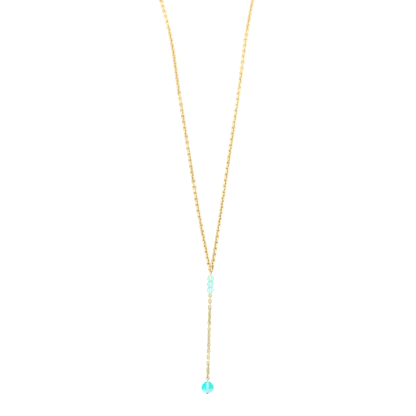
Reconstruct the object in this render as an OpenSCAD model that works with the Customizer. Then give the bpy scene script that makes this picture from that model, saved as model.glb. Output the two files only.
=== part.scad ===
// Y necklace. A fine cable chain of oval links hangs in a V from behind the
// neck. Its two sides meet on an eye of a short wire bar that carries three
// small cut beads, a tail of slightly finer links hangs from the bar's lower eye,
// and a larger cut bead on a head pin hangs free from the last link.
// The origin is the middle of the neck opening, +Z is up, the front looks to
// -Y and +X is to the right seen from the front. Sizes are in millimetres.

/* [Chain] */
// Thickness of the wire that the links of the two sides are bent from
link_wire = 0.7; // [0.4:0.05:0.7]
// Clear width inside a link of the two sides
link_hole_w = 0.9; // [0.9:0.05:1.4]
// Clear length inside every link
link_hole_l = 1.63; // [1.6:0.01:2.4]
// Gap between two wires that hook round each other
link_gap = 0.08; // [0.06:0.01:0.12]
// Turn of the chain's broad side away from the front, in degrees
face_turn = -10; // [-40:1:40]

/* [Tail] */
// Number of links between the bar and the drop
tail_links = 26; // [20:1:30]
// Thickness of the wire of the tail's links
tail_wire = 0.6; // [0.4:0.05:0.7]
// Clear width inside a link of the tail
tail_hole_w = 0.8; // [0.8:0.05:1.2]

/* [Pins] */
// Thickness of the wire of the bar and of the head pin
pin_wire = 0.6; // [0.4:0.05:0.7]
// Play left beside the two link wires that lie next to each other in the upper eye
eye_play = 0.12; // [0.12:0.02:0.4]
// Clear width inside the two small eyes, below the bar and on the drop
small_eye_hole = 1.1; // [1.1:0.05:1.6]
// Gap between a small eye and the end of the link in it
small_eye_gap = 0.12; // [0.1:0.01:0.16]
// Slit between an eye's tip and its own shank, in degrees round the eye
eye_slit = 16; // [8:1:40]
// Turn of the bar's upper eye away from the front, in degrees
upper_eye_turn = 56; // [20:1:60]
// Lean of the two end links away from upright, in degrees
end_lean = 35; // [20:1:45]
// Radial gap between a bead's bore and the wire in it
bore_gap = 0.06; // [0.03:0.01:0.1]

/* [Bar beads] */
// Width of a small bead
bar_bead_w = 3.7; // [2.8:0.1:4.5]
// Height of a small bead along the bar
bar_bead_h = 2.9; // [2:0.1:4]
// Gap between two beads, and between a bead and the lower eye
bead_gap = 0.05; // [0.03:0.01:0.15]
// Width of a small bead's flat table, as a share of the bead's width
bar_table_share = 0.64; // [0.4:0.01:0.7]
// Length of bare wire between the upper eye and the first bead
bar_neck = 0.7; // [0.2:0.05:2]

/* [Drop] */
// Width of the large bead
drop_bead_w = 6.4; // [4:0.1:9]
// Height of the large bead along its pin
drop_bead_h = 5.45; // [3.6:0.05:9]
// Length of bare wire between the drop's eye and its bead
drop_neck = 0.65; // [0.1:0.05:2]
// Width of the round head at the foot of the pin
head_w = 1.1; // [0.95:0.05:2]
// Thickness of that head
head_h = 0.6; // [0.3:0.05:0.8]
// Width of the large bead's flat table, as a share of the bead's width
drop_table_share = 0.42; // [0.36:0.01:0.6]
// Height of the large bead's widest ring below its middle
drop_girdle_low = 0.25; // [0:0.05:0.5]

/* [Cut of the beads] */
// Number of facets round a bead
cut_sides = 10; // [8:1:16]
// Width of the shoulder between table and girdle, as a share of the width
shoulder_share = 0.88; // [0.8:0.01:0.92]
// Height of the two shoulders apart, as a share of the bead's height
shoulder_rise = 0.52; // [0.4:0.01:0.66]

/* [Clasp] */
// Width of the ring clasp across its outside
clasp_w = 5.5; // [4.5:0.1:9]
// Thickness of the clasp's ring
clasp_wire = 0.7; // [0.5:0.05:0.75]
// Clear width of the small loop on the clasp's side
clasp_loop_hole = 1.5; // [1.3:0.1:2.4]
// Thickness of that loop's wire
clasp_loop_wire = 0.6; // [0.4:0.05:0.8]
// Length of the thumb tab above the ring
tab_l = 1; // [0.4:0.1:2]
// Thickness of the thumb tab
tab_d = 0.6; // [0.4:0.05:0.7]
// Gap between the chain's body and what it hooks on
seat_gap = 0.25; // [0.1:0.05:0.5]

/* [Hidden] */
// Route of one side of the chain, from near the bar up and round to the nape,
// in chosen points. The other side is its mirror image.
meeting_point = [0, -90, -200];
side_points = [
    [5.8, -82, -170],
    [10.6, -76, -140],
    [15.4, -70, -110],
    [20.2, -62.5, -78],
    [27.5, -49, -50],
    [39, -30, -27],
    [52, -5, -9],
    [56, 21, 4],
    [46, 44, 13],
    [25, 57, 18]
];
nape_point = [0, 60.5, 20];
// Slow twist of the tail: share of the way down, extra turn in degrees
tail_twist = [
    [0, 0],
    [0.08, 0],
    [0.22, -42],
    [0.34, -80],
    [0.46, -50],
    [0.56, -45],
    [0.70, -5],
    [0.80, 0],
    [0.92, -37],
    [1, -62]
];
gold = [0.93, 0.82, 0.55];
aqua = [0.35, 0.93, 0.88];
small_aqua = [0.72, 0.97, 0.88];
bar_beads = 3;
start_slant = 0.35;
tube_sides = 8;
side_rings = 40;
round_fn = 48;
quarter = 90;

// Links: outer width, reach from centre to end wire, and distance between centres
link_w = link_hole_w + 2 * link_wire;
link_reach = (link_hole_l + link_wire) / 2;
tail_reach = (link_hole_l + tail_wire) / 2;
link_pitch = link_hole_l - link_gap;

// Eyes: radii of the bent wire and of the outside, and distance between hooked wires
eye_hole = 2 * (link_wire + link_gap) + eye_play;
eye_r = (eye_hole + pin_wire) / 2;
eye_out = eye_r + pin_wire / 2;
small_eye_r = (small_eye_hole + pin_wire) / 2;
small_eye_out = small_eye_r + pin_wire / 2;
pin_hook = (pin_wire + tail_wire) / 2 + small_eye_gap;

// Heights down the bar, the tail and the drop
bar_x = meeting_point.x;
bar_y = meeting_point.y;
upper_eye_z = meeting_point.z;
bar_bead_step = bar_bead_h + bead_gap;
first_bead_z = upper_eye_z - eye_out - bar_neck - bar_bead_h / 2;
lower_eye_z = first_bead_z + bar_bead_h / 2 - bar_beads * bar_bead_step - small_eye_out;
tail_top_z = lower_eye_z - small_eye_r + pin_hook - tail_reach;
tail_end_z = tail_top_z - (tail_links - 1) * link_pitch;
drop_pivot_z = tail_end_z - tail_reach;
drop_eye_z = drop_pivot_z + pin_hook - small_eye_r;
drop_bead_z = drop_eye_z - small_eye_out - drop_neck - drop_bead_h / 2;
head_z = drop_bead_z - drop_bead_h / 2 - bead_gap;

// End links: their end wires lie side by side in the upper eye
end_offset = (link_wire + link_gap) / 2;
end_room = (eye_hole - link_wire) / 2 - link_gap;
end_rise = sqrt(pow(end_room, 2) - pow(end_offset, 2));
end_top = [
    end_offset + 2 * link_reach * sin(end_lean),
    end_rise + 2 * link_reach * cos(end_lean)
];
// Rise from an end link's upper wire to the chain's body, whose end is slanted
start_rise = link_wire / 2 + seat_gap + link_w * start_slant / 2;

// Clasp: radii of its ring and loop, and the loop's place
clasp_r = (clasp_w - clasp_wire) / 2;
clasp_loop_r = (clasp_loop_hole + clasp_loop_wire) / 2;
clasp_loop_x = -clasp_w / 2 - clasp_loop_r;

function tail_name(i) = str("tail_link_", i < 10 ? "0" : "", i);
function bead_name(i) = str("bar_bead_", i);

// Turn of a tail link about the upright: every other link stands crosswise
function tail_share(i) = (i - 1) / (tail_links - 1);
function crosswise(i) = (tail_links - i) % 2 == 1 ? quarter : 0;
function tail_turn(i) = face_turn + crosswise(i) + lookup(tail_share(i), tail_twist);

// Place along and above the upper eye, seen from its own plane
function on_eye(side, along, up) = meeting_point
    + [side * along * cos(upper_eye_turn), side * along * sin(upper_eye_turn), up];

// Full route of one side, with a guide point before the start and past the end
function seat_x(side) = side > 0
    ? clasp_w / 2 + seat_gap
    : -(clasp_loop_x - clasp_loop_r - clasp_loop_wire / 2 - seat_gap);
function start_point(side) = on_eye(side, end_top[0], end_top[1] + start_rise);
function end_point(side) = nape_point + [side * seat_x(side), 0, 0];
function mirrored(p, side) = [side * p.x, p.y, p.z];
function last_of(list) = list[len(list) - 1];
function route(side) = concat(
    [2 * start_point(side) - mirrored(side_points[0], side)],
    [start_point(side)],
    [for (p = side_points) mirrored(p, side)],
    [end_point(side)],
    [mirrored(last_of(side_points), -side)]
);

// Smooth curve through four points of the route, and its direction
function curve(p, s) = 0.5 * (2 * p[1] + (p[2] - p[0]) * s
    + (2 * p[0] - 5 * p[1] + 4 * p[2] - p[3]) * s * s
    + (3 * p[1] - p[0] - 3 * p[2] + p[3]) * s * s * s);
function slope(p, s) = 0.5 * ((p[2] - p[0])
    + 2 * (2 * p[0] - 5 * p[1] + 4 * p[2] - p[3]) * s
    + 3 * (3 * p[1] - p[0] - 3 * p[2] + p[3]) * s * s);
function unit(v) = v / norm(v);
function span_of(list, t) = min(floor(t), len(list) - 4);
function four_from(list, k) = [for (j = [0:3]) list[k + j]];

// One ring of points round the curve
function ring(list, t, r) =
    let (
        k = span_of(list, t),
        p = four_from(list, k),
        centre = curve(p, t - k),
        along = unit(slope(p, t - k)),
        across = unit(cross(along, [0, 0, 1])),
        up = cross(across, along)
    )
    [for (j = [0:tube_sides - 1])
        centre + r * (cos(360 * j / tube_sides) * across + sin(360 * j / tube_sides) * up)];

// Chain body of one side, from the end link to the clasp
module chain_side(side) {
    list = route(side);
    spans = len(list) - 3;
    points = [for (i = [0:side_rings - 1])
        each ring(list, spans * i / (side_rings - 1), link_w / 2)];
    walls = [for (i = [0:side_rings - 2], j = [0:tube_sides - 1])
        let (a = i * tube_sides + j, b = i * tube_sides + (j + 1) % tube_sides)
        [a, b, b + tube_sides, a + tube_sides]];
    first_cap = [for (j = [tube_sides - 1:-1:0]) j];
    last_cap = [for (j = [0:tube_sides - 1]) (side_rings - 1) * tube_sides + j];
    color(gold) polyhedron(points, concat([first_cap], walls, [last_cap]));
}

module chain_left() {
    chain_side(-1);
}

module chain_right() {
    chain_side(1);
}

// Half of a wire ring, standing in the XZ plane with its bend up
module half_ring(r, wire) {
    rotate([quarter, 0, 0])
        rotate_extrude(angle = 180, $fn = round_fn)
            translate([r, 0])
                circle(d = wire, $fn = round_fn);
}

// Oval link of round wire, long along Z and wide along X
module link(wire, hole_w) {
    r = (hole_w + wire) / 2;
    straight = link_hole_l - hole_w;
    for (flip = [0, 180])
        rotate([flip, 0, 0])
            translate([0, 0, straight / 2])
                half_ring(r, wire);
    for (side = [-1, 1])
        translate([side * r, 0, 0])
            cylinder(h = straight, d = wire, center = true, $fn = round_fn);
}

// Link that hooks one side of the chain to the bar's upper eye
module end_link(side) {
    color(gold)
        translate(on_eye(side, end_offset, end_rise))
            rotate([0, 0, upper_eye_turn + quarter])
                rotate([side * end_lean, 0, 0])
                    translate([0, 0, link_reach])
                        link(link_wire, link_hole_w);
}

module end_link_left() {
    end_link(-1);
}

module end_link_right() {
    end_link(1);
}

module tail_link(i) {
    color(gold)
        translate([bar_x, bar_y, tail_top_z - (i - 1) * link_pitch])
            rotate([0, 0, tail_turn(i)])
                link(tail_wire, tail_hole_w);
}

// Wire bent into an eye in the XZ plane, open by a slit beside its shank below
module eye(r) {
    shank_half = asin(pin_wire / 2 / r);
    rotate([quarter, 0, 0])
        rotate([0, 0, -quarter - shank_half])
            rotate_extrude(angle = 360 - eye_slit, $fn = round_fn)
                translate([r, 0])
                    circle(d = pin_wire, $fn = round_fn);
}

// Straight wire from one height down to another
module shank(high_z, low_z) {
    translate([0, 0, low_z])
        cylinder(h = high_z - low_z, d = pin_wire, $fn = round_fn);
}

// Bar: a straight wire with an eye at each end
module bar_pin() {
    color(gold)
        translate([bar_x, bar_y, 0]) {
            translate([0, 0, upper_eye_z])
                rotate([0, 0, upper_eye_turn])
                    eye(eye_r);
            shank(upper_eye_z - eye_r, lower_eye_z + small_eye_r);
            translate([0, 0, lower_eye_z])
                rotate([180, 0, tail_turn(1) + quarter])
                    eye(small_eye_r);
        }
}

// Head pin: an eye, a shank and a round head with a rolled rim
module drop_pin() {
    color(gold)
        translate([bar_x, bar_y, 0]) {
            translate([0, 0, drop_eye_z])
                eye(small_eye_r);
            shank(drop_eye_z - small_eye_r, head_z - head_h / 2);
            translate([0, 0, head_z - head_h / 2])
                rotate_extrude($fn = round_fn) {
                    translate([0, -head_h / 2])
                        square([(head_w - head_h) / 2, head_h]);
                    translate([(head_w - head_h) / 2, 0])
                        intersection() {
                            circle(d = head_h, $fn = round_fn);
                            translate([0, -head_h])
                                square([head_h, 2 * head_h]);
                        }
                }
        }
}

// Cut bead, drilled along Z. Five rings of corners: table, shoulder, girdle,
// shoulder and table, with the girdle turned by half a facet.
module cut_bead(w, h, table_share, girdle_low = 0) {
    n = cut_sides;
    levels = [
        [-h / 2, w * table_share, 0],
        [-girdle_low - h * shoulder_rise / 2, w * shoulder_share, 0],
        [-girdle_low, w, 0.5],
        [-girdle_low + h * shoulder_rise / 2, w * shoulder_share, 0],
        [h / 2, w * table_share, 0]
    ];
    points = [for (level = levels, j = [0:n - 1])
        let (a = 360 * (j + level[2]) / n)
        [level[1] / 2 * cos(a), level[1] / 2 * sin(a), level[0]]];
    function at(ring, j) = ring * n + (j % n);
    lower_bezels = [for (j = [0:n - 1]) [at(0, j), at(1, j), at(1, j + 1), at(0, j + 1)]];
    upper_bezels = [for (j = [0:n - 1]) [at(3, j), at(4, j), at(4, j + 1), at(3, j + 1)]];
    lower_kites = [for (j = [0:n - 1])
        each [[at(1, j), at(2, j), at(1, j + 1)], [at(1, j + 1), at(2, j), at(2, j + 1)]]];
    upper_kites = [for (j = [0:n - 1])
        each [[at(2, j), at(3, j), at(3, j + 1)], [at(2, j), at(3, j + 1), at(2, j + 1)]]];
    lower_table = [for (j = [0:n - 1]) at(0, j)];
    upper_table = [for (j = [n - 1:-1:0]) at(4, j)];
    faces = concat([lower_table], lower_bezels, lower_kites, upper_kites, upper_bezels, [upper_table]);
    difference() {
        polyhedron(points, faces);
        cylinder(h = 2 * h, d = pin_wire + 2 * bore_gap, center = true, $fn = round_fn);
    }
}

module bar_bead(i) {
    color(small_aqua)
        translate([bar_x, bar_y, first_bead_z - (i - 1) * bar_bead_step])
            cut_bead(bar_bead_w, bar_bead_h, bar_table_share);
}

module drop_bead() {
    color(aqua)
        translate([bar_x, bar_y, drop_bead_z])
            cut_bead(drop_bead_w, drop_bead_h, drop_table_share, drop_girdle_low);
}

// Whole wire ring standing in the XZ plane
module wire_ring(r, wire) {
    rotate([quarter, 0, 0])
        rotate_extrude($fn = round_fn)
            translate([r, 0])
                circle(d = wire, $fn = round_fn);
}

// Ring clasp, closed: the ring, the small loop on its side and the thumb tab
module clasp() {
    color(gold)
        translate(nape_point) {
            wire_ring(clasp_r, clasp_wire);
            translate([clasp_loop_x, 0, 0])
                wire_ring(clasp_loop_r, clasp_loop_wire);
            translate([0, 0, clasp_r])
                cylinder(h = clasp_wire / 2 + tab_l, d = tab_d, $fn = round_fn);
        }
}

chain_left();
chain_right();
clasp();
end_link_left();
end_link_right();
bar_pin();
for (i = [1:bar_beads])
    bar_bead(i);
for (i = [1:tail_links])
    tail_link(i);
drop_pin();
drop_bead();
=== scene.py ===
"""Y necklace: interlocked chain links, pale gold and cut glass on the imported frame.

Lengths are in metres. +Z is up, -Y is the front, and +X is to the right seen from there.
"""
import logging
import math
from abc import ABC, abstractmethod
from dataclasses import dataclass, field, replace
from enum import Enum
from typing import Any, Callable, ClassVar, Mapping, Sequence

import bpy
import numpy as np
from mathutils import Matrix, Vector


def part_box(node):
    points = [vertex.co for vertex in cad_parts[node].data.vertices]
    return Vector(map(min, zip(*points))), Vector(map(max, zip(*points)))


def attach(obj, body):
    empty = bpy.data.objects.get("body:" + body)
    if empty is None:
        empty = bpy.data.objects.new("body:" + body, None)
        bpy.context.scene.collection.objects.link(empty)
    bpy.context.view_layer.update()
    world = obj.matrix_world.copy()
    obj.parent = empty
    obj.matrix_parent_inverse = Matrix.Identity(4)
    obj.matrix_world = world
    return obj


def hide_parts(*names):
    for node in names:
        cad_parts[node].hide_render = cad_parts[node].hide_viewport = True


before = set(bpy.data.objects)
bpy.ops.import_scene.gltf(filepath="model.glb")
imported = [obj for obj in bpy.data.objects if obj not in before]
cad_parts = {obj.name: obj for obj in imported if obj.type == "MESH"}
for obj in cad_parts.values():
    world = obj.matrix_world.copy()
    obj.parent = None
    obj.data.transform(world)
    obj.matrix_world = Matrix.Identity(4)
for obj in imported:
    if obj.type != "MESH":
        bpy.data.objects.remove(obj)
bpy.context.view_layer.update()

LOG = logging.getLogger("y_necklace")
# Name of the mesh attribute that holds the painted-shade mask: 1 where lit, 0 in full painted
# shade.
PAINTED_SHADE_ATTRIBUTE = "painted_light"
MM = 0.001
QUARTER = math.pi / 2
UP = Vector((0, 0, 1))
Colour = tuple[float, float, float]
Point = tuple[float, float, float]
Span = tuple[float, float]


class Signal:
    """The output of a shader node, used as a value in plain arithmetic."""

    def __init__(self, graph: "Graph", socket: bpy.types.NodeSocket) -> None:
        """Keep the graph that the value belongs to and the socket that carries it."""
        self.graph = graph
        self.socket = socket

    def __add__(self, other: "Operand") -> "Signal":
        """Sum of two values."""
        return self.graph.maths("ADD", self, other)

    def __radd__(self, other: "Operand") -> "Signal":
        """Sum of a number and this value."""
        return self.graph.maths("ADD", other, self)

    def __sub__(self, other: "Operand") -> "Signal":
        """Difference of two values."""
        return self.graph.maths("SUBTRACT", self, other)

    def __rsub__(self, other: "Operand") -> "Signal":
        """Difference of a number and this value."""
        return self.graph.maths("SUBTRACT", other, self)

    def __mul__(self, other: "Operand") -> "Signal":
        """Product of two values."""
        return self.graph.maths("MULTIPLY", self, other)

    def __rmul__(self, other: "Operand") -> "Signal":
        """Product of a number and this value."""
        return self.graph.maths("MULTIPLY", other, self)

    def __truediv__(self, other: "Operand") -> "Signal":
        """Quotient of two values."""
        return self.graph.maths("DIVIDE", self, other)

    def __abs__(self) -> "Signal":
        """Size of the value without its sign."""
        return self.graph.maths("ABSOLUTE", self)

    def least(self, other: "Operand") -> "Signal":
        """The smaller of two values."""
        return self.graph.maths("MINIMUM", self, other)

    def ramp(self, low: float, high: float) -> "Signal":
        """Smooth step from 0 at low to 1 at high.

        Args:
            low: value at which the step starts.
            high: value at which the step ends, which may be the smaller one.

        Returns:
            The step, between 0 and 1.
        """
        settings = {"interpolation_type": "SMOOTHSTEP"}
        sockets = {"Value": self, "From Min": low, "From Max": high}
        return self.graph.node("ShaderNodeMapRange", settings, sockets)["Result"]


Operand = Signal | float


class Outputs:
    """The outputs of one node, read by name."""

    def __init__(self, graph: "Graph", node: bpy.types.Node) -> None:
        """Keep the graph and the node."""
        self.graph = graph
        self.node = node

    def __getitem__(self, name: str) -> Signal:
        """The enabled output of that name."""
        found = [s for s in self.node.outputs if s.name == name and s.enabled]
        return Signal(self.graph, found[0])


class Graph:
    """A shader node tree that is written as expressions."""

    def __init__(self, tree: bpy.types.NodeTree) -> None:
        """Empty the tree and start writing in it."""
        self.tree = tree
        tree.nodes.clear()

    def node(
        self,
        kind: str,
        settings: Mapping[str, Any] | None = None,
        sockets: Mapping[str | int, Any] | None = None,
    ) -> Outputs:
        """Add one node of any type.

        Args:
            kind: Blender's name of the node type.
            settings: the node's own properties, which are set first.
            sockets: value or link of each input, by its name or its number.

        Returns:
            The node's outputs.
        """
        made = self.tree.nodes.new(kind)
        for name, value in (settings or {}).items():
            setattr(made, name, value)
        for name, value in (sockets or {}).items():
            self._feed(self._input(made, name), value)
        return Outputs(self, made)

    @staticmethod
    def _input(made: bpy.types.Node, name: str | int) -> bpy.types.NodeSocket:
        """One input of a node.

        Args:
            made: the node.
            name: the input's number, or the name that it has while it is enabled.

        Returns:
            The input.
        """
        if isinstance(name, int):
            return made.inputs[name]
        return [s for s in made.inputs if s.name == name and s.enabled][0]

    def _feed(self, target: bpy.types.NodeSocket, value: Any) -> None:
        """Link a signal to an input, or set the input to a plain value.

        Args:
            target: the input.
            value: the signal, number, vector or colour.
        """
        if isinstance(value, Signal):
            self.tree.links.new(value.socket, target)
        elif target.type == "RGBA":
            target.default_value = (*value, 1.0)
        else:
            target.default_value = value

    def maths(self, operation: str, *values: Operand) -> Signal:
        """One Math node on one or two values."""
        sockets = dict(enumerate(values))
        return self.node("ShaderNodeMath", {"operation": operation}, sockets)["Value"]

    def vector(self, operation: str, *values: Any) -> Outputs:
        """One Vector Math node on one or two vectors."""
        sockets = dict(enumerate(values))
        return self.node("ShaderNodeVectorMath", {"operation": operation}, sockets)

    def parts(self, vector: Signal) -> Outputs:
        """The X, Y and Z of a vector."""
        return self.node("ShaderNodeSeparateXYZ", {}, {"Vector": vector})

    def blend(self, share: Operand, first: Any, second: Any) -> Signal:
        """Colour between two others.

        Args:
            share: 0 gives the first colour and 1 the second.
            first: colour or signal.
            second: colour or signal.

        Returns:
            The blended colour.
        """
        settings = {"data_type": "RGBA"}
        sockets = {"Factor": share, "A": first, "B": second}
        return self.node("ShaderNodeMix", settings, sockets)["Result"]

    def place(self) -> Signal:
        """Place on the piece, which stays with it when it swings."""
        return self.node("ShaderNodeTexCoord")["Object"]

    def facing(self) -> Signal:
        """Direction of the smooth surface, which turns with the piece."""
        return self.node("ShaderNodeTexCoord")["Normal"]

    def from_point(self, point: Vector) -> Signal:
        """Distance of the surface from a point."""
        offset = self.vector("SUBTRACT", self.place(), tuple(point))["Vector"]
        return self.vector("LENGTH", offset)["Value"]

    def noise(self, place: Signal, size: float, detail: float = 2.0) -> Signal:
        """Soft noise between 0 and 1.

        Args:
            place: vector that it is read at.
            size: length of one blotch, in the vector's own unit.
            detail: number of finer layers.

        Returns:
            The noise.
        """
        sockets = {"Vector": place, "Scale": 1 / size, "Detail": detail}
        return self.node("ShaderNodeTexNoise", {}, sockets)["Fac"]

    def bump(self, height: Signal, depth: float) -> Signal:
        """Surface normal with fine relief.

        Args:
            height: relief between 0 and 1.
            depth: height of the relief, as a length.

        Returns:
            The normal.
        """
        sockets = {"Height": height, "Distance": depth, "Strength": 1.0}
        return self.node("ShaderNodeBump", {}, sockets)["Normal"]

    def surface(self, sockets: Mapping[str, Any]) -> None:
        """End the graph in a Principled shader with these sockets."""
        shader = self.node("ShaderNodeBsdfPrincipled", {}, sockets)["BSDF"]
        self.node("ShaderNodeOutputMaterial", {}, {"Surface": shader})


# Builds the painted-shade mask: 1 where the surface is lit, 0 where the painted shade is
# full.
PaintedLight = Callable[[Graph], Signal]


def new_finish(name: str) -> tuple[bpy.types.Material, Graph]:
    """Make an empty finish.

    Args:
        name: name of the material.

    Returns:
        The material and the graph that writes its nodes.
    """
    made = bpy.data.materials.new(name)
    made.use_nodes = True
    return made, Graph(made.node_tree)


def new_object(name: str, data: bpy.types.ID) -> bpy.types.Object:
    """Make an object and put it in the scene.

    Args:
        name: name of the object.
        data: mesh, camera or light that it shows.

    Returns:
        The object.
    """
    made = bpy.data.objects.new(name, data)
    bpy.context.scene.collection.objects.link(made)
    return made


def nodes_named(start: str) -> list[str]:
    """Names of the solids that start with some words, in order."""
    return sorted(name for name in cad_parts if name.startswith(start))


def middle_of(name: str) -> Vector:
    """Middle of a solid's box."""
    low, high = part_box(name)
    return (Vector(low) + Vector(high)) / 2


def level_direction(turn: float) -> Vector:
    """Level direction at that turn from +X, as seen from above."""
    return Vector((math.cos(turn), math.sin(turn), 0))


@dataclass(frozen=True)
class PaleGold:
    """Pale gold plate on round wire: bright outside, with painted shade where the wires hide
    each other.
    """

    bright: Colour = (0.90, 0.77, 0.46)
    warm: Colour = (0.87, 0.69, 0.38)
    # Colour of the painted shade in the hollows and at the tips.
    painted_shade: Colour = (0.26, 0.19, 0.085)
    blotch: float = 4 * MM
    blotch_edge: Span = (0.35, 0.65)
    metal: float = 0.6
    polish: float = 0.22
    polish_wander: float = 0.10
    scratch: float = 0.12 * MM
    scratch_detail: float = 4.0
    scratch_depth: float = 0.004 * MM

    def material(self, name: str, painted_light: PaintedLight) -> bpy.types.Material:
        """Make the finish for one kind of piece.

        Args:
            name: name of the material.
            painted_light: mask for the painted shade, 0 where the piece is hidden and 1 on
                its open outside.

        Returns:
            The material.
        """
        made, graph = new_finish(name)
        place = graph.place()
        drift = graph.noise(place, self.blotch).ramp(*self.blotch_edge)
        worn = graph.noise(place, self.scratch, self.scratch_detail)
        plate = graph.blend(drift, self.bright, self.warm)
        graph.surface({
            # Painted shade: the dark colour is blended in where the mask is low.
            "Base Color": graph.blend(painted_light(graph), self.painted_shade, plate),
            "Metallic": self.metal,
            "Roughness": self.polish + self.polish_wander * worn,
            "Normal": graph.bump(worn, self.scratch_depth),
        })
        return made


@dataclass(frozen=True)
class CutGlass:
    """Tinted cut glass with a pale channel down its middle, where it is drilled, painted on
    as the bore seen through the glass.

    The upper part takes one tint on the left and another on the right, and the lower
    part two paler ones. Some facets show a deeper tint, as painted reflections, and both
    ends do too, as painted shade where the bead meets its neighbours. A place across the bead
    or up it is given from its middle, as a share of its width or height.
    """

    left: Colour
    right: Colour
    channel: Colour
    low_left: Colour
    low_right: Colour
    deep: Colour
    width: float
    height: float
    clearness: float = 0.35
    channel_edge: Span = (0.114, 0.0665)
    channel_end: float = 0.5
    low_edge: Span = (-0.18, -0.30)
    blend_edge: Span = (-0.10, 0.10)
    facet_size: float = 0.35
    facet_edge: Span = (0.45, 0.65)
    facet_depth: float = 0.5
    roughness: float = 0.04
    ior: float = 1.5
    shine: float = 0.12
    end_shade_edge: Span = (0.42, 0.50)
    end_shade_depth: float = 0.35
    ripple: float = 0.7 * MM
    ripple_depth: float = 0.008 * MM

    def material(self, name: str, middle: Vector, across: Vector) -> bpy.types.Material:
        """Make the finish for one bead.

        Args:
            name: name of the material.
            middle: middle of the bead.
            across: direction from its left to its right, seen from the front.

        Returns:
            The material.
        """
        made, graph = new_finish(name)
        place = graph.vector("SUBTRACT", graph.place(), tuple(middle))["Vector"]
        aside = graph.vector("DOT_PRODUCT", place, tuple(across))["Value"] / self.width
        level = graph.parts(place)["Z"] / self.height
        low = level.ramp(*self.low_edge)
        # Painted view through the glass: a pale stripe down the middle, fainter lower down.
        channel = abs(aside).ramp(*self.channel_edge) * (1 - low * self.channel_end)
        tint = self._tint(graph, aside, level, low)
        ripple = graph.noise(graph.place(), self.ripple)
        graph.surface({
            "Base Color": graph.blend(channel, tint, self.channel),
            "Roughness": self.roughness,
            "IOR": self.ior,
            "Specular IOR Level": self.shine,
            "Transmission Weight": self.clearness,
            "Normal": graph.bump(ripple, self.ripple_depth),
        })
        return made

    def _tint(self, graph: Graph, aside: Signal, level: Signal, low: Signal) -> Signal:
        """Colour of the glass beside its channel.

        Args:
            graph: graph that the colour is written in.
            aside: place across the bead.
            level: place up the bead.
            low: 0 on the upper part and 1 on the lower one.

        Returns:
            The colour.
        """
        on_right = aside.ramp(*self.blend_edge)
        high_tint = graph.blend(on_right, self.left, self.right)
        low_tint = graph.blend(on_right, self.low_left, self.low_right)
        tint = graph.blend(low, high_tint, low_tint)
        # Painted reflections: some facets, picked at random by their direction, take the
        # deeper tint.
        flat = graph.node("ShaderNodeNewGeometry")["True Normal"]
        facet = graph.noise(graph.vector("ABSOLUTE", flat)["Vector"], self.facet_size, 0.0)
        tint = graph.blend(facet.ramp(*self.facet_edge) * self.facet_depth, tint, self.deep)
        # Painted shade: both ends take the deeper tint, where the bead meets its neighbours.
        end = abs(level).ramp(*self.end_shade_edge)
        return graph.blend(end * self.end_shade_depth, tint, self.deep)


@dataclass(frozen=True)
class PaleFloor:
    """Matt white paper."""

    paper: Colour = (0.93, 0.93, 0.93)
    fibre: float = 3 * MM
    roughness: float = 0.8
    roughness_wander: float = 0.1

    def material(self, name: str) -> bpy.types.Material:
        """Make the finish.

        Args:
            name: name of the material.

        Returns:
            The material.
        """
        made, graph = new_finish(name)
        fibre = graph.noise(graph.place(), self.fibre)
        roughness = self.roughness + self.roughness_wander * fibre
        graph.surface({"Base Color": self.paper, "Roughness": roughness})
        return made


# A darker, greyer copy of the pale gold for the tail and the drop pin: painted shade, as they
# are the same plating as the rest.
SHADED_GOLD = PaleGold(bright=(0.78, 0.72, 0.44), warm=(0.72, 0.63, 0.35))
MINT_GLASS = CutGlass(
    left=(0.58, 1.0, 0.76),
    right=(0.53, 1.0, 0.90),
    channel=(0.86, 1.0, 0.93),
    low_left=(0.60, 1.0, 0.76),
    low_right=(0.56, 1.0, 0.86),
    deep=(0.48, 0.84, 0.80),
    width=3.7 * MM,
    height=2.9 * MM,
    facet_depth=0.3,
    end_shade_depth=0.25,
)
BLUISH_GLASS = replace(MINT_GLASS, left=(0.54, 0.92, 0.96), low_left=(0.58, 0.98, 0.88))
MILKY_GLASS = replace(
    MINT_GLASS,
    left=(0.60, 0.96, 0.92),
    right=(0.58, 0.98, 0.84),
    low_left=(0.68, 0.98, 0.94),
    low_right=(0.60, 0.98, 0.84),
)
AQUA_GLASS = CutGlass(
    left=(0.0, 0.94, 0.98),
    right=(0.0, 0.92, 0.78),
    channel=(0.70, 0.94, 0.88),
    low_left=(0.38, 1.0, 0.90),
    low_right=(0.52, 0.80, 0.94),
    deep=(0.06, 0.66, 0.90),
    width=6.4 * MM,
    height=5.45 * MM,
    channel_edge=(0.09, 0.0525),
    low_edge=(0.06, -0.34),
)


class Side(Enum):
    """Side of the necklace, as the sign of its X."""

    LEFT = -1
    RIGHT = 1

    @property
    def word(self) -> str:
        """The side's name in lower case."""
        return self.name.lower()


@dataclass(frozen=True)
class LinkSize:
    """Sizes of one oval link of round wire, at first those of the solid end links."""

    wire: float = 0.70 * MM
    hole_w: float = 0.90 * MM
    hole_l: float = 1.63 * MM
    gap: float = 0.08 * MM

    @property
    def bend(self) -> float:
        """Radius of the bends at the middle of the wire."""
        return (self.hole_w + self.wire) / 2

    @property
    def straight(self) -> float:
        """Length of the straight legs."""
        return self.hole_l - self.hole_w

    @property
    def reach(self) -> float:
        """Distance from the link's middle to the middle of its end wire."""
        return (self.hole_l + self.wire) / 2

    @property
    def pitch(self) -> float:
        """Distance from one link's middle to the next one's."""
        return self.hole_l - self.gap


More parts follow.
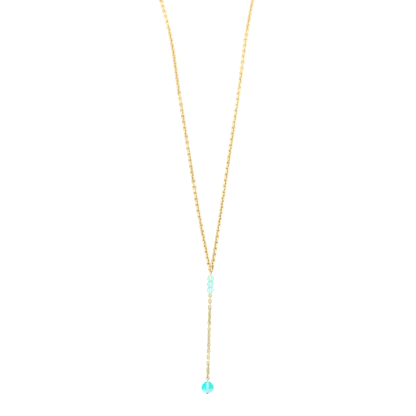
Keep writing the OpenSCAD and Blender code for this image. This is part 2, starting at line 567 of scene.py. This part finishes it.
@dataclass(frozen=True)
class LinkMesh:
    """Mesh of one link, long along Z and wide along X, repeated along a chain."""

    size: LinkSize
    bend_steps: int = 13
    wire_sides: int = 14

    def centre_line(self) -> tuple[np.ndarray, np.ndarray]:
        """Points along the middle of the wire, and the outward direction at each.

        Returns:
            The points and the directions, both with one row for each point.
        """
        turns = np.linspace(0, math.pi, self.bend_steps + 1)
        out = np.stack([np.cos(turns), np.zeros_like(turns), np.sin(turns)], axis=1)
        rise = np.array([0.0, 0.0, self.size.straight / 2])
        top = out * self.size.bend + rise
        half_turn = np.array([-1.0, 1.0, -1.0])
        return np.concatenate([top, top * half_turn]), np.concatenate([out, out * half_turn])

    def build(self) -> tuple[np.ndarray, np.ndarray, np.ndarray]:
        """Sweep the round wire along the centre line.

        Returns:
            Corners, the surface's direction at each, and quads as rows of corner numbers.
        """
        middle, out = self.centre_line()
        sides = np.arange(self.wire_sides) * 2 * math.pi / self.wire_sides
        across = np.array([0.0, 1.0, 0.0])
        facing = (
            np.cos(sides)[None, :, None] * out[:, None, :]
            + np.sin(sides)[None, :, None] * across
        )
        rings = middle[:, None, :] + self.size.wire / 2 * facing
        count = len(middle)
        ring, side = np.meshgrid(np.arange(count), np.arange(self.wire_sides), indexing="ij")
        here = ring * self.wire_sides
        after = (ring + 1) % count * self.wire_sides
        beside = (side + 1) % self.wire_sides
        quads = np.stack([here + side, here + beside, after + beside, after + side], axis=-1)
        return rings.reshape(-1, 3), facing.reshape(-1, 3), quads.reshape(-1, 4)


@dataclass(frozen=True)
class LinkShade:
    """Painted shade on a link, as the light it leaves: little round the middle of its hole
    and at its tips.

    The tips' surface faces along the chain and sits deep in the next links' holes. Each
    pair gives where the light starts and where it is full: the first for the distance
    from the link's middle, the second for how far the surface faces along the chain.
    """

    middle: Span = (0.32 * MM, 0.52 * MM)
    tip: Span = (0.86, 0.52)

    def at_corners(self, corners: np.ndarray, facing: np.ndarray) -> np.ndarray:
        """Share of light left by the painted shade at each corner of a link's mesh, which is
        long along Z.

        Args:
            corners: the corners, one row for each.
            facing: the surface's direction at each.

        Returns:
            The share from 0 in full painted shade to 1, one value for each corner.
        """
        depth = np.linalg.norm(corners, axis=1)
        return (
            np.interp(depth, self.middle, (0, 1))
            * np.interp(np.abs(facing[:, 2]), self.tip[::-1], (1, 0))
        )

    def on_solid(self, middle: Vector, along: Vector) -> PaintedLight:
        """The same measure as nodes, for a link that is a solid.

        Args:
            middle: middle of the link.
            along: direction of its length.

        Returns:
            The function that builds the nodes.
        """
        def painted_light(graph: Graph) -> Signal:
            """Share of light left by the painted shade on that link."""
            tilt = graph.vector("DOT_PRODUCT", graph.facing(), tuple(along))["Value"]
            return graph.from_point(middle).ramp(*self.middle) * abs(tilt).ramp(*self.tip)

        return painted_light


class Route:
    """A smooth line through chosen points, read by the length along it."""

    STEPS: ClassVar[int] = 40

    def __init__(
        self, start: Sequence[Vector], points: Sequence[Vector], after: Vector
    ) -> None:
        """Trace the line.

        Args:
            start: straight run-up, whose last point is the curve's first one.
            points: the rest of the points that the curve goes through.
            after: guide point past the last one.
        """
        knots = [2 * start[-1] - points[0], start[-1], *points, after]
        trace = [np.array(p) for p in start[:-1]]
        for k in range(len(knots) - 3):
            near = [np.array(knot) for knot in knots[k:k + 4]]
            trace += [self._curve(near, i / self.STEPS) for i in range(self.STEPS)]
        trace.append(np.array(knots[-2]))
        self.trace = np.array(trace)
        steps = np.linalg.norm(np.diff(self.trace, axis=0), axis=1)
        self.marks = np.concatenate([[0.0], np.cumsum(steps)])
        self.length = float(self.marks[-1])

    @staticmethod
    def _curve(p: Sequence[np.ndarray], s: float) -> np.ndarray:
        """Point of the smooth curve between the second and the third of four points.

        Args:
            p: the four points.
            s: share of the way from the second to the third.

        Returns:
            The point.
        """
        flat = 2 * p[1] + (p[2] - p[0]) * s
        bent = (2 * p[0] - 5 * p[1] + 4 * p[2] - p[3]) * s**2
        return 0.5 * (flat + bent + (3 * p[1] - p[0] - 3 * p[2] + p[3]) * s**3)

    def at(self, length: float) -> Vector:
        """Point at that length along the line."""
        return Vector([float(np.interp(length, self.marks, part)) for part in self.trace.T])


@dataclass(frozen=True)
class Twist:
    """Slow turn of a chain: height above the bar's eye in mm, turn in degrees.

    The turn is that of every other link's broad side away from the front. The links
    between stand crosswise to them.
    """

    rows: tuple[Span, ...]

    def turn(self, height: float) -> float:
        """Turn in radians at a height in metres."""
        heights, turns = zip(*self.rows)
        return math.radians(float(np.interp(height, [h * MM for h in heights], turns)))


@dataclass(frozen=True)
class Spot:
    """Where one link goes: its middle, the direction of its length and a level one."""

    middle: Vector
    along: Vector
    level: Vector

    def turned(self, turn: float) -> Matrix:
        """Rotation that turns the link's broad side by that much from the level direction."""
        broad = Matrix.Rotation(turn, 3, self.along) @ self.level
        return Matrix((broad, self.along.cross(broad), self.along)).transposed()

    def turn_to(self, wanted: Vector) -> float:
        """Turn about the length from the level direction to another one."""
        return math.atan2(self.level.cross(wanted).dot(self.along), self.level.dot(wanted))


@dataclass
class Layout:
    """Places that the scene repeats from the solids: the eyes, the route and the clasp.

    The points that the sides run through are those of the right side, in millimetres.
    """

    meeting_point: Vector = field(default_factory=lambda: Vector((0, -90, -200)) * MM)
    nape_point: Vector = field(default_factory=lambda: Vector((0, 60.5, 20)) * MM)
    front_turn: float = math.radians(-10)
    upper_eye_turn: float = math.radians(56)
    end_lean: float = math.radians(35)
    eye_play: float = 0.12 * MM
    small_eye_hole: float = 1.1 * MM
    pin_wire: float = 0.6 * MM
    clasp_ring: float = 2.4 * MM
    clasp_wire: float = 0.7 * MM
    clasp_loop: float = 1.05 * MM
    clasp_loop_wire: float = 0.6 * MM
    link: LinkSize = LinkSize()
    side_points: tuple[Point, ...] = (
        (5.8, -82, -170),
        (10.6, -76, -140),
        (15.4, -70, -110),
        (20.2, -62.5, -78),
        (27.5, -49, -50),
        (39, -30, -27),
        (52, -5, -9),
        (56, 21, 4),
        (46, 44, 13),
        (25, 57, 18),
    )

    @property
    def across(self) -> Vector:
        """Direction from left to right, seen from where the necklace's front looks."""
        return level_direction(self.front_turn)

    @property
    def eye_hole(self) -> float:
        """Clear width of the bar's upper eye, which holds both end links."""
        return 2 * (self.link.wire + self.link.gap) + self.eye_play

    @property
    def eye_radius(self) -> float:
        """Outer radius of the bar's upper eye."""
        return self.eye_hole / 2 + self.pin_wire

    @property
    def small_eye_radius(self) -> float:
        """Outer radius of the bar's lower eye and of the drop's."""
        return self.small_eye_hole / 2 + self.pin_wire

    @property
    def upper_eye_across(self) -> Vector:
        """Level direction in the plane of the bar's upper eye."""
        return level_direction(self.upper_eye_turn)

    def end_direction(self, side: Side) -> Vector:
        """Direction of the end link's length, up and away from the eye."""
        lean = side.value * math.sin(self.end_lean)
        return lean * self.upper_eye_across + math.cos(self.end_lean) * UP

    def end_middle(self, side: Side) -> Vector:
        """Middle of the end link that hooks the bar's upper eye.

        Args:
            side: which side's end link.

        Returns:
            The middle.
        """
        link = self.link
        offset = (link.wire + link.gap) / 2
        room = (self.eye_hole - link.wire) / 2 - link.gap
        rise = math.sqrt(room**2 - offset**2)
        hook = self.meeting_point + side.value * offset * self.upper_eye_across + rise * UP
        return hook + link.reach * self.end_direction(side)

    def clasp_middle(self, side: Side) -> Vector:
        """Middle of the last link, which hooks the clasp's ring or its small loop.

        Args:
            side: which side's last link.

        Returns:
            The middle.
        """
        link = self.link
        hooked = link.wire / 2 + link.gap
        if side is Side.RIGHT:
            wire_x = self.clasp_ring - self.clasp_wire / 2 - hooked
            return self.nape_point + Vector((wire_x + link.reach, 0, 0))
        loop_x = self.clasp_ring + self.clasp_wire / 2 + self.clasp_loop
        wire_x = loop_x + self.clasp_loop - self.clasp_loop_wire / 2 - hooked
        return self.nape_point - Vector((wire_x + link.reach, 0, 0))

    def route(self, side: Side) -> Route:
        """Line through the middles of one side's links, from end link to clasp.

        Args:
            side: which side.

        Returns:
            The line.
        """
        middle = self.end_middle(side)
        hook = middle + self.link.reach * self.end_direction(side)
        points = [Vector((side.value * x, y, z)) * MM for x, y, z in self.side_points]
        after = Vector((-points[-1].x, points[-1].y, points[-1].z))
        return Route([middle, hook], [*points, self.clasp_middle(side)], after)


@dataclass
class NeckChain:
    """The two sides of the cable chain, each a row of interlocked links.

    The links keep the distance of the solid ones, with less play. The painted shade in their
    hollows is full up to the first fade height and gone above the second. From the
    settle height above the bar's eye, they turn slowly to lie as the clasp needs it.
    """

    layout: Layout
    finish: PaleGold
    link: LinkSize = LinkSize(
        wire=0.74 * MM, hole_w=0.84 * MM, hole_l=1.59 * MM, gap=0.04 * MM
    )
    left_twist: Twist = Twist((
        (0, -24), (18, -45), (21, -66), (25, -45), (28, -26), (39, -24), (48, 45),
        (51, 64), (61, 66), (70, 135), (73.5, 154), (84, 156), (92.5, 225),
        (121.5, 225), (129, 270),
    ))
    right_twist: Twist = Twist((
        (0, -24), (5, -66), (18.5, -66), (23, -45), (37, -45), (40, -26), (88, -24),
        (97, 45), (104, 80), (112, 80), (118, 66), (126.5, 135),
    ))
    settle_height: float = 150 * MM
    fade_heights: Span = (-150 * MM, -90 * MM)

    def build(self) -> list[bpy.types.Object]:
        """Make both sides and put them in the place of the plain solids.

        Returns:
            The two pieces.
        """
        material = self.finish.material("gold_chain", self._painted_light)
        made = []
        for side, twist in ((Side.LEFT, self.left_twist), (Side.RIGHT, self.right_twist)):
            piece = self._side(side, twist)
            piece.data.materials.append(material)
            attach(piece, "necklace")
            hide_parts(f"chain_{side.word}")
            made.append(piece)
        return made

    @staticmethod
    def _painted_light(graph: Graph) -> Signal:
        """The painted-shade mask that is stored in the mesh."""
        settings = {"attribute_type": "GEOMETRY", "attribute_name": PAINTED_SHADE_ATTRIBUTE}
        return graph.node("ShaderNodeAttribute", settings)["Fac"]

    def _side(self, side: Side, twist: Twist) -> bpy.types.Object:
        """Row of links along one side's route.

        Args:
            side: which side.
            twist: its slow turn.

        Returns:
            The piece, one mesh of separate links.
        """
        corners, facing, quads = LinkMesh(self.link).build()
        spots = self._spots(side)
        all_corners = np.concatenate([
            corners @ np.array(spot.turned(turn)).T + np.array(spot.middle)
            for spot, turn in zip(spots, self._turns(spots, twist))
        ])
        all_quads = np.concatenate([quads + i * len(corners) for i in range(len(spots))])
        mesh = bpy.data.meshes.new(f"chain_{side.word}_links")
        mesh.from_pydata(all_corners.tolist(), [], all_quads.tolist())
        mesh.shade_smooth()
        # Painted shade: dark in the hollows and at the tips, full below the first fade height
        # and gone above the second.
        painted_light = LinkShade().at_corners(corners, facing)
        dark = np.interp(all_corners[:, 2], self.fade_heights, (1.0, 0.0))
        dark *= 1 - np.tile(painted_light, len(spots))
        layer = mesh.attributes.new(PAINTED_SHADE_ATTRIBUTE, "FLOAT", "POINT")
        layer.data.foreach_set("value", (1 - dark).astype(np.float32))
        LOG.info("%s: %d links", mesh.name, len(spots))
        return new_object(mesh.name, mesh)

    def _spots(self, side: Side) -> list[Spot]:
        """Where each link after the end link goes, from the eye to the clasp.

        The level direction starts as the front's and is carried along the route
        without turning about it, so that the twist alone turns the links.

        Args:
            side: which side.

        Returns:
            The spots.
        """
        link = self.layout.link
        route = self.layout.route(side)
        count = round(route.length / link.pitch)
        pitch = route.length / count
        level = self.layout.across
        spots = []
        for k in range(1, count + 1):
            low = route.at(k * pitch - link.reach)
            high = route.at(k * pitch + link.reach)
            middle = (low + high) / 2
            if k == count:
                high = low + Vector((-side.value * 2 * link.reach, 0, 0))
                middle = self.layout.clasp_middle(side)
            along = (high - low).normalized()
            level = (level - level.dot(along) * along).normalized()
            spots.append(Spot(middle, along, level))
        return spots

    def _turns(self, spots: Sequence[Spot], twist: Twist) -> list[float]:
        """Turn of each link from its level direction, every other one crosswise.

        Args:
            spots: where the links go.
            twist: the side's slow turn.

        Returns:
            The turns in radians, which bring the last link level with the clasp's hole.
        """
        heights = [(spot.middle - self.layout.meeting_point).z for spot in spots]
        turns = [twist.turn(h) + QUARTER * ((i + 1) % 2) for i, h in enumerate(heights)]
        wanted = spots[-1].turn_to(Vector((0, 1, 0)))
        settle = (wanted - turns[-1] + QUARTER) % math.pi - QUARTER
        first = next(i for i, h in enumerate(heights) if h > self.settle_height)
        stretch = len(spots) - 1 - first
        return [
            turn + max(0.0, (i - first) / stretch) * settle for i, turn in enumerate(turns)
        ]


class SolidGroup(ABC):
    """A sub-assembly of solids that keep their shapes, each with a finish of its own."""

    @abstractmethod
    def finishes(self) -> dict[str, bpy.types.Material]:
        """The finish of each solid, by the name of its node."""

    def dress(self) -> list[str]:
        """Put the finishes on every material slot of the solids' objects.

        Returns:
            The names of the dressed nodes.
        """
        made = self.finishes()
        for name, material in made.items():
            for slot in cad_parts[name].material_slots:
                slot.material = material
        return list(made)


@dataclass
class BarAndTail(SolidGroup):
    """The wire bar, the end links and small beads on it, and the tail of finer links."""

    layout: Layout
    gold: PaleGold
    tail_gold: PaleGold
    glasses: Sequence[CutGlass]
    eye_shade: Span = (0.56, 0.72)
    hooked_shade: Span = (0.7 * MM, 1.1 * MM)

    def finishes(self) -> dict[str, bpy.types.Material]:
        """Make a finish for each solid, with its own painted shade or tints.

        Returns:
            The finishes, by the names of the nodes.
        """
        made = {"bar_pin": self.gold.material("gold_bar", self._bar_painted_light)}
        for side in Side:
            name = f"end_link_{side.word}"
            made[name] = self.gold.material(f"gold_{name}", self._end_link_painted_light(side))
        for name in nodes_named("tail_link"):
            # Painted shade in each tail link's hole and at its tips, as on the chain.
            painted_light = LinkShade().on_solid(middle_of(name), UP)
            made[name] = self.tail_gold.material(f"gold_{name}", painted_light)
        for name, glass in zip(nodes_named("bar_bead"), self.glasses):
            middle = middle_of(name)
            made[name] = glass.material(f"glass_{name}", middle, self.layout.across)
        return made

    def _bar_painted_light(self, graph: Graph) -> Signal:
        """Share of light on the bar: painted shade on the inner faces of its two eyes.

        Args:
            graph: graph that it is written in.

        Returns:
            The share of light.
        """
        upper = self.layout.meeting_point
        small = self.layout.small_eye_radius
        foot = Vector(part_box("bar_pin")[0]).z
        lower = Vector((upper.x, upper.y, foot + small))
        from_upper = graph.from_point(upper) / self.layout.eye_radius
        from_lower = graph.from_point(lower) / small
        return from_upper.ramp(*self.eye_shade) * from_lower.ramp(*self.eye_shade)

    def _end_link_painted_light(self, side: Side) -> PaintedLight:
        """Share of light on an end link: painted shade at its tips and hole, and where it
        hooks the eye.

        Args:
            side: which side's end link.

        Returns:
            The function that builds the nodes.
        """
        layout = self.layout
        own = LinkShade().on_solid(layout.end_middle(side), layout.end_direction(side))

        def painted_light(graph: Graph) -> Signal:
            """Share of light on that end link, under its painted shade."""
            hooked = graph.from_point(layout.meeting_point).ramp(*self.hooked_shade)
            return own(graph) * hooked

        return painted_light


@dataclass
class Drop(SolidGroup):
    """The head pin and the large cut bead on it, which hang free from the tail."""

    layout: Layout
    gold: PaleGold
    glass: CutGlass
    eye_shade: Span = (0.50, 0.68)
    head_edge: float = 0.1 * MM
    # Share of light left on the head in its painted shadow under the bead.
    head_light: float = 0.12

    def finishes(self) -> dict[str, bpy.types.Material]:
        """Make the pin's finish and the bead's.

        Returns:
            The finishes, by the names of the nodes.
        """
        bead = middle_of("drop_bead")
        return {
            "drop_pin": self.gold.material("gold_drop_pin", self._pin_painted_light),
            "drop_bead": self.glass.material("glass_drop", bead, self.layout.across),
        }

    def _pin_painted_light(self, graph: Graph) -> Signal:
        """Share of light on the pin: painted shade inside its eye, and painted shadow on the
        head under the bead.

        Args:
            graph: graph that it is written in.

        Returns:
            The share of light.
        """
        eye = self.layout.small_eye_radius
        hang = self.layout.meeting_point
        top = Vector(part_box("drop_pin")[1]).z
        middle = Vector((hang.x, hang.y, top - eye))
        inside = (graph.from_point(middle) / eye).ramp(*self.eye_shade)
        foot = Vector(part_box("drop_bead")[0]).z
        height = graph.parts(graph.place())["Z"]
        above = height.ramp(foot - self.head_edge, foot + self.head_edge)
        return inside * (self.head_light + (1 - self.head_light) * above)


@dataclass
class Clasp(SolidGroup):
    """The plain ring clasp at the nape."""

    layout: Layout
    gold: PaleGold
    ring_shade: Span = (0.7, 1.0)

    def finishes(self) -> dict[str, bpy.types.Material]:
        """The clasp's finish."""
        return {"clasp": self.gold.material("gold_clasp", self._ring_painted_light)}

    def _ring_painted_light(self, graph: Graph) -> Signal:
        """Share of light on the ring: a little painted shade on its inner face."""
        outward = graph.from_point(self.layout.nape_point) / self.layout.clasp_ring
        return outward.ramp(*self.ring_shade)


@dataclass
class Camera:
    """Camera at the photograph's viewing angle, placed by the pixel of the bar's eye."""

    target: Vector
    frame_px: float = 416.0
    eye_px: Span = (210.8, 271.5)
    px_per_metre: float = 2000.0
    distance: float = 0.75
    azimuth: float = math.radians(-10)
    roll: float = math.radians(1.6)
    sensor_mm: float = 36.0
    clip: Span = (0.01, 50.0)

    def build(self) -> None:
        """Make the camera and look through it."""
        data = bpy.data.cameras.new("camera")
        data.sensor_width = self.sensor_mm
        data.lens = self.sensor_mm * self.distance * self.px_per_metre / self.frame_px
        data.clip_start, data.clip_end = self.clip
        right = level_direction(self.azimuth)
        back = right.cross(UP)
        across, down = (px - self.frame_px / 2 for px in self.eye_px)
        cos_roll, sin_roll = math.cos(self.roll), math.sin(self.roll)
        aside = (across * cos_roll + down * sin_roll) / self.px_per_metre
        below = (down * cos_roll - across * sin_roll) / self.px_per_metre
        stand = self.target - aside * right + below * UP + self.distance * back
        turn = Matrix((right, UP, back)).transposed().to_4x4()
        camera = new_object("camera", data)
        camera.matrix_world = (
            Matrix.Translation(stand) @ turn @ Matrix.Rotation(self.roll, 4, "Z")
        )
        bpy.context.scene.camera = camera


@dataclass(frozen=True)
class SoftLight:
    """A square soft light: its place, the length of its side and its power in watts."""

    name: str
    place: Point
    size: float
    power: float

    def build(self, aim: Vector) -> None:
        """Make the light.

        Args:
            aim: where it points.
        """
        data = bpy.data.lights.new(self.name, "AREA")
        data.size = self.size
        data.energy = self.power
        light = new_object(self.name, data)
        light.location = self.place
        light.rotation_euler = (aim - light.location).to_track_quat("-Z", "Y").to_euler()


@dataclass
class Studio:
    """Plain pale floor, white surroundings and soft lights.

    The white level is what the camera sees and the soft level is what lights the
    pieces. The others are what reflections show. Each edge gives where a level starts
    and where it is full: Y from behind to the front, X to either side and Z to the top.
    """

    floor_z: float = -0.40
    floor_size: float = 6.0
    white: Colour = (1.0, 1.0, 1.0)
    white_level: float = 1.08
    soft_level: float = 1.2
    behind_level: float = 0.30
    front_level: float = 0.72
    side_level: float = 0.85
    top_level: float = 1.25
    front_edge: Span = (0.75, 0.1)
    side_edge: Span = (0.2, 0.8)
    top_edge: Span = (0.3, 0.9)
    aim: Point = (0, -0.08, -0.18)
    lights: tuple[SoftLight, ...] = (
        SoftLight("key", place=(-0.9, -1.0, 0.7), size=0.5, power=3.0),
        SoftLight("fill", place=(1.1, -0.6, 0.2), size=0.6, power=1.5),
    )

    def build(self) -> None:
        """Make the floor, the surroundings and the lights."""
        self._floor()
        self._surroundings()
        for light in self.lights:
            light.build(Vector(self.aim))
        bpy.context.scene.view_settings.view_transform = "Standard"

    def _floor(self) -> None:
        """Make the floor."""
        half = self.floor_size / 2
        mesh = bpy.data.meshes.new("floor")
        flat = ((-half, -half), (half, -half), (half, half), (-half, half))
        mesh.from_pydata([(x, y, self.floor_z) for x, y in flat], [], [(0, 1, 2, 3)])
        mesh.materials.append(PaleFloor().material("pale_paper"))
        floor = new_object("floor", mesh)

    def _surroundings(self) -> None:
        """Make the white surroundings, whose reflections are darker toward the back."""
        world = bpy.data.worlds.new("tent")
        bpy.context.scene.world = world
        world.use_nodes = True
        graph = Graph(world.node_tree)
        parts = graph.parts(graph.node("ShaderNodeTexCoord")["Generated"])
        front = parts["Y"].ramp(*self.front_edge)
        side = abs(parts["X"]).ramp(*self.side_edge) * front
        top = parts["Z"].ramp(*self.top_edge)
        level = self.behind_level + (self.front_level - self.behind_level) * front
        level = level + (self.side_level - self.front_level) * side
        level = level + (self.top_level - level) * top
        rays = graph.node("ShaderNodeLightPath")
        seen = (rays["Is Camera Ray"] + rays["Is Transmission Ray"]).least(1)
        strength = level + (self.white_level - level) * seen
        strength = strength + (self.soft_level - strength) * rays["Is Diffuse Ray"]
        sockets = {"Color": self.white, "Strength": strength}
        light = graph.node("ShaderNodeBackground", {}, sockets)["Background"]
        graph.node("ShaderNodeOutputWorld", {}, {"Surface": light})


def main() -> None:
    """Build and dress the necklace, then set the camera and the studio."""
    logging.basicConfig(level=logging.INFO, format="%(name)s: %(message)s")
    layout = Layout()
    gold = PaleGold()
    for piece in NeckChain(layout, gold).build():
        LOG.info("made %s", piece.name)
    groups = (
        BarAndTail(layout, gold, SHADED_GOLD, (MINT_GLASS, BLUISH_GLASS, MILKY_GLASS)),
        Drop(layout, SHADED_GOLD, AQUA_GLASS),
        Clasp(layout, gold),
    )
    for group in groups:
        for name in group.dress():
            LOG.info("dressed %s", name)
    Camera(layout.meeting_point).build()
    Studio().build()


if __name__ == "__main__":
    main()
